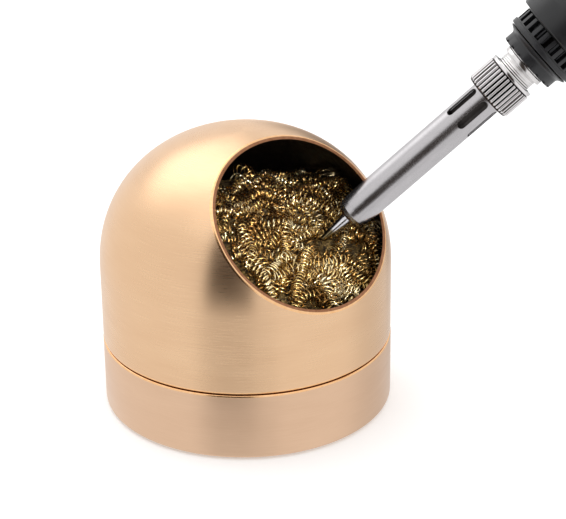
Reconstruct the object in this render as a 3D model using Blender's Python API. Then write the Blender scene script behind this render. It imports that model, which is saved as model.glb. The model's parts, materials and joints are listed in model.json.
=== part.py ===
"""Soldering iron station: a domed pot of curled brass wool with a soldering iron parked in it.

The pot stands on a rubber pad at z = 0, its axis is Z and its slanted mouth faces -Y. The cover, a
drawn dome, lifts off a turned base. The iron lies across the rim of the mouth with the point of
its tip on the wool. Its own parts are drawn along their shared axis from that point, and an empty
at the point places them.

All sizes below are in millimetres. MM turns them into Blender's metres.
"""

import math

import bmesh
import bpy
from mathutils import Matrix, Vector

MM = 0.001
GAP = 0.3

# Pot
BASE_RADIUS = 34.0
SEAM_HEIGHT = 16.5
FLOOR_THICKNESS = 6.0
PAD_THICKNESS = 1.6
PAD_PROUD = 0.5
PAD_RADIUS = 30.0
SPIGOT_RADIUS = 33.0
SPIGOT_BORE = 30.6
SPIGOT_HEIGHT = 6.0
DOME_RADIUS = 33.92
DOME_WALL = 0.6
SHOULDER_HEIGHT = 34.6
CROWN_HEIGHT = 31.66
CROWN_POWER = 2.1
MOUTH_TILT = math.radians(41.17)
MOUTH_DISTANCE = 47.88
POT_SEGMENTS = 48
CROWN_STEPS = 9

# Brass wool
WOOL_CREST = 48.3
WOOL_FRONT_FALL = 16.9
WOOL_FRONT_POWER = 1.18
WOOL_SIDE_FALL = 1.0
WOOL_BACK_FALL = 1.5
WOOL_RADIUS = 32.2
WOOL_FOOT_RADIUS = 30.0
WOOL_SEGMENTS = 32
WOOL_RINGS = 6

# Iron: where its point rests, and how it leans
TIP_POINT = Vector((9.05, -16.71, 42.07))
IRON_HEADING = math.radians(-34.94)
IRON_ELEVATION = math.radians(41.25)

# Tip and heater, along the iron from the point
TIP_LENGTH = 33.0
TIP_SHANK_RADIUS = 3.1
TIP_BORE_RADIUS = 2.2
TIP_BORE_START = 16.0
HEATER_RADIUS = 1.9
HEATER_FLANGE_RADIUS = 3.8

# Sleeve, nut and nipple
SLEEVE_MOUTH = 8.0
SLEEVE_TAPER_END = 16.5
SLEEVE_END = 51.2
SLEEVE_RADIUS = 4.05
SLEEVE_BORE = 3.55
SLEEVE_MOUTH_RADIUS = 3.4
SLEEVE_MOUTH_BORE = 2.85
SLEEVE_FLANGE_RADIUS = 4.75
SLOT_COUNT = 6
SLOT_START = 40.6
SLOT_LENGTH = 8.4
SLOT_WIDTH = 1.9
SLOT_CLOCK = math.radians(-99.7)
NUT_START = 49.5
NUT_END = 57.15
NUT_RADIUS = 6.1
NUT_GROOVE = 0.42
NUT_RIDGES = 36
NUT_LIP_BORE = 4.35
NUT_BORE = 5.05
NIPPLE_START = 51.5
NIPPLE_THREAD_RADIUS = 4.6
NIPPLE_SHOULDER_RADIUS = 5.35
NIPPLE_BODY_RADIUS = 4.9
NIPPLE_END = 86.0

# Nose of the handle
COLLAR_START = 61.1
COLLAR_END = 64.6
COLLAR_RADIUS = 7.25
COLLAR_NOTCHES = 16
VENT_START = 64.9
VENT_RADIUS = 9.2
VENT_FLANGE = 1.25
VENT_WINDOWS = 24
VENT_WINDOW_WIDTH = 1.35
HANDLE_START = 69.75
HANDLE_END = 189.7
HANDLE_BORE = 6.6
HANDLE_SOCKET_BORE = 8.7
GRIP_START = 88.0
GRIP_END = 134.0
GRIP_RADIUS = 9.9
GRIP_CORE_RADIUS = 7.8
IRON_LENGTH = 197.0
CORD_HOLE_RADIUS = 3.0

# Inside the handle
BOARD_START = 93.0
BOARD_END = 124.0
BOARD_WIDTH = 10.4
BOARD_THICKNESS = 1.2
PIN_PLACES = ((96.0, -3.0), (96.0, 3.0), (101.0, -1.2), (101.0, 1.2), (106.0, 3.6), (118.0, 0.0))
LEAD_RADIUS = 0.28

COLOURS = {
    "dome_shell": ((0.80, 0.58, 0.44), 0.32, 1.0),
    "base_cup": ((0.80, 0.58, 0.44), 0.32, 1.0),
    "foot_pad": ((0.03, 0.03, 0.03), 0.8, 0.0),
    "brass_wool": ((0.62, 0.46, 0.18), 0.35, 1.0),
    "soldering_tip": ((0.62, 0.61, 0.62), 0.3, 1.0),
    "heating_element": ((0.86, 0.84, 0.80), 0.6, 0.0),
    "tip_sleeve": ((0.72, 0.71, 0.72), 0.28, 1.0),
    "sleeve_nut": ((0.76, 0.75, 0.76), 0.25, 1.0),
    "nipple": ((0.74, 0.73, 0.74), 0.3, 1.0),
    "nose_collar": ((0.05, 0.05, 0.052), 0.6, 0.0),
    "vent_ring": ((0.05, 0.05, 0.052), 0.6, 0.0),
    "handle_body": ((0.045, 0.045, 0.048), 0.5, 0.0),
    "grip_cover": ((0.03, 0.03, 0.032), 0.85, 0.0),
    "spring_sleeve": ((0.70, 0.70, 0.71), 0.35, 1.0),
    "grounding_spring": ((0.75, 0.74, 0.72), 0.3, 1.0),
    "heater_lead": ((0.78, 0.77, 0.75), 0.35, 1.0),
    "ground_lead": ((0.10, 0.35, 0.12), 0.5, 0.0),
    "terminal_board": ((0.34, 0.22, 0.10), 0.6, 0.0),
    "board_pin": ((0.80, 0.78, 0.72), 0.3, 1.0),
    "cord_stopper": ((0.06, 0.06, 0.06), 0.6, 0.0),
    "rear_cap": ((0.045, 0.045, 0.048), 0.5, 0.0),
}


# Tools

def clear_scene():
    for obj in list(bpy.data.objects):
        bpy.data.objects.remove(obj, do_unlink=True)


def kind(name):
    """The name without the number that repeated parts carry."""
    return name.rstrip("_0123456789")


def make_material(name):
    colour, roughness, metallic = COLOURS[kind(name)]
    material = bpy.data.materials.new(name)
    material.use_nodes = True
    shader = material.node_tree.nodes["Principled BSDF"]
    shader.inputs["Base Color"].default_value = (*colour, 1.0)
    shader.inputs["Roughness"].default_value = roughness
    shader.inputs["Metallic"].default_value = metallic
    material.diffuse_color = (*colour, 1.0)
    return material


def add_object(name, data, parent=None):
    obj = bpy.data.objects.new(name, data)
    bpy.context.collection.objects.link(obj)
    obj.parent = parent
    return obj


def finish_mesh(name, bm, parent=None, smooth=True):
    """Turns a bmesh in millimetres into an object in metres, faces pointing out."""
    bmesh.ops.remove_doubles(bm, verts=bm.verts, dist=0.001)
    bmesh.ops.recalc_face_normals(bm, faces=bm.faces)
    bmesh.ops.scale(bm, vec=(MM, MM, MM), verts=bm.verts)
    mesh = bpy.data.meshes.new(name)
    bm.to_mesh(mesh)
    bm.free()
    if smooth:
        mesh.shade_smooth()
        mesh.set_sharp_from_angle(angle=math.radians(35))
    if kind(name) in COLOURS:
        mesh.materials.append(make_material(name))
    return add_object(name, mesh, parent)


def spin_outline(bm, outline, segments, closed=True):
    """Turns an outline of (radius, height) points about Z."""
    verts = [bm.verts.new((radius, 0.0, height)) for radius, height in outline]
    pairs = list(zip(verts, verts[1:]))
    if closed:
        pairs.append((verts[-1], verts[0]))
    edges = [bm.edges.new(pair) for pair in pairs]
    bmesh.ops.spin(
        bm,
        geom=verts + edges,
        cent=(0, 0, 0),
        axis=(0, 0, 1),
        angle=2 * math.pi,
        steps=segments,
        use_merge=True,
    )


def turned(name, outline, segments, parent=None, closed=True):
    """A turned solid. An outline that starts and ends on the axis isn't closed."""
    bm = bmesh.new()
    spin_outline(bm, outline, segments, closed)
    return finish_mesh(name, bm, parent)


def add_block(bm, size, matrix):
    """A box of the given size, placed by a matrix."""
    placed = matrix @ Matrix.Diagonal((*size, 1.0))
    bmesh.ops.create_cube(bm, size=1.0, matrix=placed)


def around_axis(index, count, clock=0.0):
    return Matrix.Rotation(clock + 2 * math.pi * index / count, 4, "Z")


def cut(target, cutter):
    cutter.hide_render = True
    cutter.display_type = "WIRE"
    modifier = target.modifiers.new("cut_" + cutter.name, "BOOLEAN")
    modifier.operation = "DIFFERENCE"
    modifier.solver = "EXACT"
    modifier.object = cutter


def wire(name, places, radius, parent):
    """A round wire along a list of points."""
    curve = bpy.data.curves.new(name, "CURVE")
    curve.dimensions = "3D"
    curve.bevel_depth = radius * MM
    curve.bevel_resolution = 1
    curve.use_fill_caps = True
    spline = curve.splines.new("POLY")
    spline.points.add(len(places) - 1)
    for point, place in zip(spline.points, places):
        point.co = (*(Vector(place) * MM), 1.0)
    curve.materials.append(make_material(name))
    return add_object(name, curve, parent)


# Pot

def crown_outline(inset, points):
    """Outer or inner dome profile from the crown's centre down to the shoulder."""
    radius = DOME_RADIUS - inset
    height = CROWN_HEIGHT - inset
    outline = []
    for step in range(points + 1):
        angle = math.pi / 2 * step / points
        across = math.sin(angle) ** (2 / CROWN_POWER)
        up = math.cos(angle) ** (2 / CROWN_POWER)
        outline.append((radius * across, SHOULDER_HEIGHT + height * up))
    return outline


def make_dome():
    bottom = SEAM_HEIGHT + GAP
    outside = crown_outline(0.0, CROWN_STEPS) + [(DOME_RADIUS, bottom + 0.4), (DOME_RADIUS - 0.4, bottom)]
    inside = [(DOME_RADIUS - DOME_WALL, bottom)] + crown_outline(DOME_WALL, CROWN_STEPS)[::-1]
    dome = turned("dome_shell", outside + inside, POT_SEGMENTS, closed=False)
    bm = bmesh.new()
    lean = Matrix.Rotation(math.pi / 2 - MOUTH_TILT, 4, "X")
    reach = Matrix.Translation((0, 0, MOUTH_DISTANCE + 50))
    add_block(bm, (200, 200, 100), lean @ reach)
    cut(dome, finish_mesh("mouth_cutter", bm, smooth=False))
    return dome


def make_base():
    bottom = PAD_PROUD
    floor_top = bottom + PAD_THICKNESS + GAP + FLOOR_THICKNESS
    recess = PAD_RADIUS + GAP
    recess_top = PAD_THICKNESS + GAP
    outline = [
        (0.0, recess_top),
        (recess, recess_top),
        (recess, bottom),
        (BASE_RADIUS - 1.2, bottom),
        (BASE_RADIUS - 0.35, bottom + 0.35),
        (BASE_RADIUS, bottom + 1.2),
        (BASE_RADIUS, SEAM_HEIGHT - 0.35),
        (BASE_RADIUS - 0.35, SEAM_HEIGHT),
        (SPIGOT_RADIUS, SEAM_HEIGHT),
        (SPIGOT_RADIUS, SEAM_HEIGHT + SPIGOT_HEIGHT - 0.6),
        (SPIGOT_RADIUS - 0.6, SEAM_HEIGHT + SPIGOT_HEIGHT),
        (SPIGOT_BORE, SEAM_HEIGHT + SPIGOT_HEIGHT),
        (SPIGOT_BORE, floor_top),
        (0.0, floor_top),
    ]
    return turned("base_cup", outline, POT_SEGMENTS, closed=False)


def make_foot_pad():
    outline = [
        (0.0, 0.0),
        (PAD_RADIUS - 0.5, 0.0),
        (PAD_RADIUS, 0.5),
        (PAD_RADIUS, PAD_THICKNESS),
        (0.0, PAD_THICKNESS),
    ]
    return turned("foot_pad", outline, POT_SEGMENTS, closed=False)


def wool_top(x, y):
    """Height of the wool: level at the back of the pot and falling to the lip of the mouth."""
    forward = max(0.0, -y / BASE_RADIUS - 0.05)
    back = max(0.0, y / BASE_RADIUS)
    height = WOOL_CREST - WOOL_FRONT_FALL * forward**WOOL_FRONT_POWER
    return height - WOOL_SIDE_FALL * (x / BASE_RADIUS) ** 2 - WOOL_BACK_FALL * back**2


def room_radius(height):
    """Radius left for the wool inside the cover at a height."""
    rise = max(0.0, height - SHOULDER_HEIGHT) / (CROWN_HEIGHT - DOME_WALL)
    inside = (DOME_RADIUS - DOME_WALL) * (1 - rise**CROWN_POWER) ** (1 / CROWN_POWER)
    return min(WOOL_RADIUS, inside - 2 * GAP)


def level_ring(bm, radius, height):
    turns = [2 * math.pi * step / WOOL_SEGMENTS for step in range(WOOL_SEGMENTS)]
    return [bm.verts.new((radius * math.cos(a), radius * math.sin(a), height)) for a in turns]


def side_ring(bm, low, share):
    """A ring on the wool's side, a share of the way up from a height to its top edge."""
    ring = []
    for step in range(WOOL_SEGMENTS):
        angle = 2 * math.pi * step / WOOL_SEGMENTS
        x = math.cos(angle)
        y = math.sin(angle)
        edge = wool_top(x * WOOL_RADIUS, y * WOOL_RADIUS)
        height = low + share * (edge - low)
        radius = room_radius(height)
        ring.append(bm.verts.new((radius * x, radius * y, height)))
    return ring


def top_ring(bm, edge_ring, share):
    """A ring on the wool's top, a share of the way out from the middle."""
    ring = []
    for vert in edge_ring:
        x = vert.co.x * share
        y = vert.co.y * share
        ring.append(bm.verts.new((x, y, wool_top(x, y))))
    return ring


def make_wool():
    """The packed wool as one plain solid, with a hollow where the tip and its sleeve come in."""
    floor = PAD_PROUD + PAD_THICKNESS + FLOOR_THICKNESS + 2 * GAP
    step_height = SEAM_HEIGHT + SPIGOT_HEIGHT + 1.0
    bm = bmesh.new()
    foot = bm.verts.new((0, 0, floor))
    rings = [
        level_ring(bm, WOOL_FOOT_RADIUS, floor),
        level_ring(bm, WOOL_FOOT_RADIUS, step_height),
        level_ring(bm, WOOL_RADIUS, step_height + 2.0),
    ]
    for share in (0.6, 0.85, 1.0):
        rings.append(side_ring(bm, step_height + 2.0, share))
    edge_ring = rings[-1]
    for step in range(WOOL_RINGS - 1, 0, -1):
        rings.append(top_ring(bm, edge_ring, step / WOOL_RINGS))
    crest = bm.verts.new((0, 0, wool_top(0, 0)))
    for lower, upper in zip(rings, rings[1:]):
        for index in range(WOOL_SEGMENTS):
            after = (index + 1) % WOOL_SEGMENTS
            bm.faces.new((lower[index], lower[after], upper[after], upper[index]))
    for index in range(WOOL_SEGMENTS):
        after = (index + 1) % WOOL_SEGMENTS
        bm.faces.new((foot, rings[0][after], rings[0][index]))
        bm.faces.new((crest, rings[-1][index], rings[-1][after]))
    return finish_mesh("brass_wool", bm)


def cut_wool_hollow(wool, iron):
    """Room for the tip, and for the sleeve after the nut has let it forward."""
    throat = SLEEVE_MOUTH - 4.0
    outline = [
        (0.0, -0.8),
        (1.1, -0.8),
        (2.1, throat),
        (SLEEVE_RADIUS + 0.6, throat + 0.01),
        (SLEEVE_RADIUS + 0.6, 45.0),
        (0.0, 45.0),
    ]
    cut(wool, turned("wool_cutter", outline, 20, iron, closed=False))


# Iron

def make_iron_axis():
    """The empty at the point of the tip. Its Z runs up the iron towards the handle."""
    axis = add_object("iron_axis", None)
    axis.location = TIP_POINT * MM
    axis.rotation_euler = (0.0, math.pi / 2 - IRON_ELEVATION, IRON_HEADING)
    return axis


def make_tip(iron):
    outline = [
        (0.0, 0.0),
        (0.65, 0.05),
        (0.8, 0.5),
        (1.5, 7.3),
        (2.15, 11.5),
        (2.4, 12.6),
        (3.0, 14.2),
        (TIP_SHANK_RADIUS, 14.8),
        (TIP_SHANK_RADIUS, TIP_LENGTH),
        (TIP_BORE_RADIUS, TIP_LENGTH),
        (TIP_BORE_RADIUS, TIP_BORE_START + 0.8),
        (0.0, TIP_BORE_START),
    ]
    return turned("soldering_tip", outline, 20, iron, closed=False)


def make_heater(iron):
    flange = 66.6
    outline = [
        (0.0, TIP_BORE_START + 1.2),
        (HEATER_RADIUS - 0.3, TIP_BORE_START + 1.2),
        (HEATER_RADIUS, TIP_BORE_START + 1.6),
        (HEATER_RADIUS, flange),
        (HEATER_FLANGE_RADIUS, flange),
        (HEATER_FLANGE_RADIUS, flange + 3.0),
        (HEATER_RADIUS, flange + 3.0),
        (HEATER_RADIUS, flange + 7.0),
        (0.0, flange + 7.0),
    ]
    return turned("heating_element", outline, 14, iron, closed=False)


def slot_outline(points):
    """Half-round ends at both sides of a slot, as (along, across)."""
    radius = SLOT_WIDTH / 2
    middle = SLOT_LENGTH / 2 - radius
    places = []
    for end in (1, -1):
        for step in range(points + 1):
            angle = math.pi * (step / points - 0.5) + (0 if end > 0 else math.pi)
            places.append((end * middle + radius * math.cos(angle), radius * math.sin(angle)))
    return places


def make_sleeve_slots(iron):
    bm = bmesh.new()
    for index in range(SLOT_COUNT):
        turn = around_axis(index, SLOT_COUNT, SLOT_CLOCK)
        centre = SLOT_START + SLOT_LENGTH / 2
        loop = []
        for along, across in slot_outline(4):
            loop.append(bm.verts.new(turn @ Vector((2.4, across, centre + along))))
        face = bm.faces.new(loop)
        pushed = bmesh.ops.extrude_face_region(bm, geom=[face])["geom"]
        moved = [item for item in pushed if isinstance(item, bmesh.types.BMVert)]
        bmesh.ops.translate(bm, verts=moved, vec=turn @ Vector((3.0, 0, 0)))
    return finish_mesh("slot_cutter", bm, iron, smooth=False)


def make_sleeve(iron):
    outline = [
        (SLEEVE_MOUTH_BORE, SLEEVE_MOUTH + 0.1),
        (SLEEVE_MOUTH_RADIUS - 0.15, SLEEVE_MOUTH),
        (SLEEVE_MOUTH_RADIUS, SLEEVE_MOUTH + 0.25),
        (3.72, SLEEVE_MOUTH + 1.0),
        (3.85, SLEEVE_MOUTH + 2.5),
        (3.98, SLEEVE_MOUTH + 5.6),
        (SLEEVE_RADIUS, SLEEVE_TAPER_END + 2.0),
        (SLEEVE_RADIUS, SLEEVE_END - 1.0),
        (SLEEVE_FLANGE_RADIUS, SLEEVE_END - 1.0),
        (SLEEVE_FLANGE_RADIUS, SLEEVE_END),
        (SLEEVE_BORE, SLEEVE_END),
        (SLEEVE_BORE, SLEEVE_TAPER_END + 2.0),
        (3.48, SLEEVE_MOUTH + 5.6),
        (3.35, SLEEVE_MOUTH + 2.5),
        (3.2, SLEEVE_MOUTH + 1.0),
    ]
    sleeve = turned("tip_sleeve", outline, 28, iron)
    cut(sleeve, make_sleeve_slots(iron))
    return sleeve


def make_nut(iron):
    """The knurled nut: every second line of the turned skin sinks into a groove."""
    front = NUT_START
    outline = [
        (NUT_LIP_BORE, front),
        (NUT_RADIUS - 0.9, front),
        (NUT_RADIUS, front + 0.9),
        (NUT_RADIUS, NUT_END - 0.9),
        (NUT_RADIUS - 0.35, NUT_END - 0.5),
        (NUT_RADIUS - 0.35, NUT_END),
        (NUT_BORE, NUT_END),
        (NUT_BORE, front + 0.6),
        (NUT_LIP_BORE, front + 0.6),
    ]
    bm = bmesh.new()
    spin_outline(bm, outline, 2 * NUT_RIDGES)
    for vert in bm.verts:
        radius = math.hypot(vert.co.x, vert.co.y)
        turn = math.atan2(vert.co.y, vert.co.x) / math.pi * NUT_RIDGES
        if radius > NUT_RADIUS - 0.1 and round(turn) % 2:
            shrink = (radius - NUT_GROOVE) / radius
            vert.co.x *= shrink
            vert.co.y *= shrink
    return finish_mesh("sleeve_nut", bm, iron)


def make_nipple(iron):
    """The threaded metal barrel that holds the heater and screws into the handle."""
    shoulder = NUT_END + 2.5
    counterbore = 66.2
    outline = [
        (2.4, NIPPLE_START),
        (NIPPLE_THREAD_RADIUS - 0.3, NIPPLE_START),
        (NIPPLE_THREAD_RADIUS, NIPPLE_START + 0.3),
        (NIPPLE_THREAD_RADIUS, shoulder),
        (NIPPLE_SHOULDER_RADIUS, shoulder),
        (NIPPLE_SHOULDER_RADIUS, COLLAR_START - GAP),
        (NIPPLE_BODY_RADIUS, COLLAR_START - GAP),
        (NIPPLE_BODY_RADIUS, NIPPLE_END),
        (HEATER_FLANGE_RADIUS + GAP, NIPPLE_END),
        (HEATER_FLANGE_RADIUS + GAP, counterbore),
        (2.4, counterbore),
    ]
    return turned("nipple", outline, 24, iron)


def make_collar(iron):
    bore = NIPPLE_BODY_RADIUS + GAP
    outline = [
        (bore, COLLAR_START),
        (COLLAR_RADIUS - 0.25, COLLAR_START),
        (COLLAR_RADIUS, COLLAR_START + 0.3),
        (COLLAR_RADIUS, COLLAR_END - 0.9),
        (VENT_RADIUS - 0.5, COLLAR_END - 0.1),
        (VENT_RADIUS - 0.5, COLLAR_END),
        (bore, COLLAR_END),
    ]
    collar = turned("nose_collar", outline, 28, iron)
    bm = bmesh.new()
    for index in range(COLLAR_NOTCHES):
        turn = around_axis(index, COLLAR_NOTCHES, math.radians(5))
        add_block(bm, (2.4, 1.1, 1.0), turn @ Matrix.Translation((COLLAR_RADIUS, 0, COLLAR_START)))
    cut(collar, finish_mesh("notch_cutter", bm, iron, smooth=False))
    return collar


def make_vent_ring(iron):
    """The flange and the ring of cooling windows, with the spigot that fits the handle."""
    bore = NIPPLE_BODY_RADIUS + GAP
    flange = VENT_START + VENT_FLANGE
    spigot = HANDLE_SOCKET_BORE - GAP
    outline = [
        (bore, VENT_START),
        (VENT_RADIUS - 0.2, VENT_START),
        (VENT_RADIUS, VENT_START + 0.2),
        (VENT_RADIUS, flange),
        (VENT_RADIUS - 0.35, flange),
        (VENT_RADIUS - 0.35, HANDLE_START - GAP),
        (spigot, HANDLE_START - GAP),
        (spigot, HANDLE_START + 6.5),
        (7.3, HANDLE_START + 6.5),
        (7.3, flange),
        (bore, flange),
    ]
    ring = turned("vent_ring", outline, 40, iron)
    bm = bmesh.new()
    middle = (flange + HANDLE_START - GAP) / 2
    length = HANDLE_START - GAP - flange - 0.5
    for index in range(VENT_WINDOWS):
        turn = around_axis(index, VENT_WINDOWS, math.radians(3.75))
        place = turn @ Matrix.Translation((8.4, 0, middle))
        add_block(bm, (3.0, VENT_WINDOW_WIDTH, length), place)
    cut(ring, finish_mesh("window_cutter", bm, iron, smooth=False))
    return ring


def make_handle(iron):
    outline = [
        (HANDLE_SOCKET_BORE, HANDLE_START),
        (10.3, HANDLE_START),
        (10.6, HANDLE_START + 0.4),
        (10.9, 75.0),
        (10.6, 79.0),
        (9.7, 83.0),
        (8.9, 86.2),
        (8.7, GRIP_START - GAP),
        (GRIP_CORE_RADIUS - GAP, GRIP_START - GAP),
        (GRIP_CORE_RADIUS - GAP, GRIP_END + GAP),
        (9.5, GRIP_END + GAP),
        (9.6, 137.0),
        (9.3, 150.0),
        (8.7, 170.0),
        (8.1, 186.0),
        (7.7, HANDLE_END - 0.4),
        (7.4, HANDLE_END),
        (HANDLE_BORE, HANDLE_END),
        (HANDLE_BORE, HANDLE_START + 8.5),
        (HANDLE_SOCKET_BORE, HANDLE_START + 7.0),
    ]
    return turned("handle_body", outline, 28, iron)


def make_grip(iron):
    """The soft cover, with shallow finger rings."""
    outline = [(GRIP_CORE_RADIUS, GRIP_START), (GRIP_RADIUS - 1.0, GRIP_START)]
    rings = 5
    pitch = (GRIP_END - GRIP_START - 2.0) / rings
    for index in range(rings):
        start = GRIP_START + 1.0 + index * pitch
        outline.append((GRIP_RADIUS - 0.35, start))
        outline.append((GRIP_RADIUS, start + 0.3 * pitch))
        outline.append((GRIP_RADIUS, start + 0.7 * pitch))
    outline.append((GRIP_RADIUS - 0.35, GRIP_END - 1.0))
    outline.append((GRIP_RADIUS - 1.0, GRIP_END))
    outline.append((GRIP_CORE_RADIUS, GRIP_END))
    return turned("grip_cover", outline, 24, iron)


def make_spring_sleeve(iron):
    """The metal sleeve around the nipple's end that takes the grounding spring."""
    outline = [
        (NIPPLE_BODY_RADIUS + GAP, 80.2),
        (6.1, 80.2),
        (6.1, 92.0),
        (3.9, 92.0),
        (3.9, 91.2),
        (NIPPLE_BODY_RADIUS + GAP, 91.2),
    ]
    return turned("spring_sleeve", outline, 18, iron)


def helix(radius, start, end, turns, steps):
    places = []
    for step in range(turns * steps + 1):
        angle = 2 * math.pi * step / steps
        along = start + (end - start) * step / (turns * steps)
        places.append((radius * math.cos(angle), radius * math.sin(angle), along))
    return places


def make_spring(iron):
    return wire("grounding_spring", helix(4.45, 86.8, 90.5, 3, 12), 0.3, iron)


def make_board(iron):
    """The terminal board, a strip with a hole for each pin."""
    bm = bmesh.new()
    middle = (BOARD_START + BOARD_END) / 2
    size = (BOARD_THICKNESS, BOARD_WIDTH, BOARD_END - BOARD_START)
    add_block(bm, size, Matrix.Translation((0, 0, middle)))
    board = finish_mesh("terminal_board", bm, iron, smooth=False)
    bm = bmesh.new()
    for along, across in PIN_PLACES:
        place = Matrix.Translation((0, across, along)) @ Matrix.Rotation(math.pi / 2, 4, "Y")
        bmesh.ops.create_cone(
            bm, cap_ends=True, segments=10, radius1=0.75, radius2=0.75, depth=4, matrix=place
        )
    cut(board, finish_mesh("pin_cutter", bm, iron, smooth=False))
    return board


def make_pins(iron):
    """The solder pins, each standing through its hole in the board."""
    for index, (along, across) in enumerate(PIN_PLACES):
        place = Matrix.Translation((0.1, across, along)) @ Matrix.Rotation(math.pi / 2, 4, "Y")
        bm = bmesh.new()
        bmesh.ops.create_cone(
            bm, cap_ends=True, segments=8, radius1=0.42, radius2=0.42, depth=3.2, matrix=place
        )
        finish_mesh(f"board_pin_{index + 1}", bm, iron)


def make_leads(iron):
    """Four leads from the heater's end to the first four pins."""
    start = 74.0
    side = 1.9
    for index, (along, across) in enumerate(PIN_PLACES[:4]):
        x = 0.6 if index < 2 else -0.6
        y = 0.35 * across
        path = [
            (x, y, start),
            (x, y, start + 4),
            (x, (y + across) / 2, start + 11),
            (side, across * 0.85, BOARD_START - 3.0),
            (side + 0.4, across, along - 1.2),
            (side + 0.4, across, along),
        ]
        wire(f"heater_lead_{index + 1}", path, LEAD_RADIUS, iron)


def make_ground_lead(iron):
    path = [
        (-2.6, 2.3, 92.6),
        (-3.1, 2.6, 95.0),
        (-2.6, 3.3, 101.0),
        (-2.2, 3.6, 105.0),
        (-2.2, 3.6, 106.4),
    ]
    return wire("ground_lead", path, 0.45, iron)


def make_stopper(iron):
    """The ring inside the rear of the handle that stops a cord being pulled out."""
    outline = [
        (CORD_HOLE_RADIUS, 172.0),
        (HANDLE_BORE - 0.7, 172.0),
        (HANDLE_BORE - 0.3, 172.4),
        (HANDLE_BORE - 0.3, 178.0),
        (CORD_HOLE_RADIUS, 178.0),
    ]
    return turned("cord_stopper", outline, 16, iron)


def make_rear_cap(iron):
    """The end cap, whose hole is the inlet for the cord."""
    outline = [
        (CORD_HOLE_RADIUS, 182.0),
        (HANDLE_BORE - GAP, 182.0),
        (HANDLE_BORE - GAP, HANDLE_END + GAP),
        (7.4, HANDLE_END + GAP),
        (7.5, HANDLE_END + GAP + 0.4),
        (7.1, 193.5),
        (5.4, IRON_LENGTH - 0.4),
        (4.9, IRON_LENGTH),
        (CORD_HOLE_RADIUS, IRON_LENGTH),
    ]
    return turned("rear_cap", outline, 24, iron)


def make_iron(iron):
    make_tip(iron)
    make_heater(iron)
    make_sleeve(iron)
    make_nut(iron)
    make_nipple(iron)
    make_collar(iron)
    make_vent_ring(iron)
    make_handle(iron)
    make_grip(iron)
    make_spring_sleeve(iron)
    make_spring(iron)
    make_board(iron)
    make_pins(iron)
    make_leads(iron)
    make_ground_lead(iron)
    make_stopper(iron)
    make_rear_cap(iron)


def main():
    clear_scene()
    iron = make_iron_axis()
    make_base()
    make_foot_pad()
    make_dome()
    cut_wool_hollow(make_wool(), iron)
    make_iron(iron)


main()
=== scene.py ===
"""Looks of the soldering iron station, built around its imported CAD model.

The pot stands at the origin, its axis is Z and its slanted mouth faces -Y. The iron lies across
the rim of the mouth; its pieces are drawn along their shared axis from the point of the tip, and
one matrix places them. Outlines and sizes are in millimetres, as in the CAD model.
"""

import json
import math

import bmesh
import bpy
import numpy as np
from mathutils import Matrix, Vector


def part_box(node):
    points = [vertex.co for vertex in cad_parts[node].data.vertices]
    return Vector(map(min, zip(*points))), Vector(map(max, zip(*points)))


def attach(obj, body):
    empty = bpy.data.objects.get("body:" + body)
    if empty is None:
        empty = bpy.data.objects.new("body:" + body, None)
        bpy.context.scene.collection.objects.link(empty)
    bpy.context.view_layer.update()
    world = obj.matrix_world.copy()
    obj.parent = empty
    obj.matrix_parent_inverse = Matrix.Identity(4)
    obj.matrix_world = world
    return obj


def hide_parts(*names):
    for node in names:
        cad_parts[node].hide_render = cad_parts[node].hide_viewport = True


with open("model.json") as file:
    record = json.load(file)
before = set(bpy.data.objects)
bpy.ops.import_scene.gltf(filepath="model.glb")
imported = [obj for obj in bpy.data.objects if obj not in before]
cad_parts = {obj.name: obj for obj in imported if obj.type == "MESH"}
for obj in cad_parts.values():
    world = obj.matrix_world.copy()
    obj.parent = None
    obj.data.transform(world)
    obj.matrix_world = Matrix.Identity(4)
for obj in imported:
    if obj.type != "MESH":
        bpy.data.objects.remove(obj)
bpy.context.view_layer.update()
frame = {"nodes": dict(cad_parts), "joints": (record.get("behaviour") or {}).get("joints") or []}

MM = 0.001
GAP = 0.3

# Pot
BASE_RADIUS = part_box("base_cup")[1].x / MM
DOME_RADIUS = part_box("dome_shell")[1].x / MM
DOME_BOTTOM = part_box("dome_shell")[0].z / MM
SEAM_HEIGHT = DOME_BOTTOM - GAP
PAD_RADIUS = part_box("foot_pad")[1].x / MM
PAD_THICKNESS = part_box("foot_pad")[1].z / MM
PAD_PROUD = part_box("base_cup")[0].z / MM
FLOOR_THICKNESS = 6.0
SPIGOT_RADIUS = 33.0
SPIGOT_BORE = 30.6
SPIGOT_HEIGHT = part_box("base_cup")[1].z / MM - SEAM_HEIGHT
DOME_WALL = 0.6
SHOULDER_HEIGHT = 34.6
CROWN_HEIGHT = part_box("dome_shell")[1].z / MM - SHOULDER_HEIGHT
CROWN_POWER = 2.1
MOUTH_TILT = math.radians(41.17)
MOUTH_DISTANCE = 47.88
MOUTH_NORMAL = np.array([0.0, -math.cos(MOUTH_TILT), math.sin(MOUTH_TILT)])
MOUTH_SETBACK = 21.0
RIM_ROUND = 0.2

# Brass wool
WOOL_CREST = 48.3
WOOL_FRONT_FALL = 16.9
WOOL_FRONT_POWER = 1.18
WOOL_SIDE_FALL = 1.0
WOOL_BACK_FALL = 3.2
WOOL_HOLLOWS = ((9.5, -5.5, 3.2, 4.2), (16.0, -24.5, 2.0, 4.0), (-10.4, -24.0, 1.8, 3.0))
LOOSE_WIRES = ((24.0, 0.0, 2.2), (22.2, -18.5, 2.0), (-1.1, -27.0, 1.8), (2.5, -28.0, 1.6))

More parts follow.
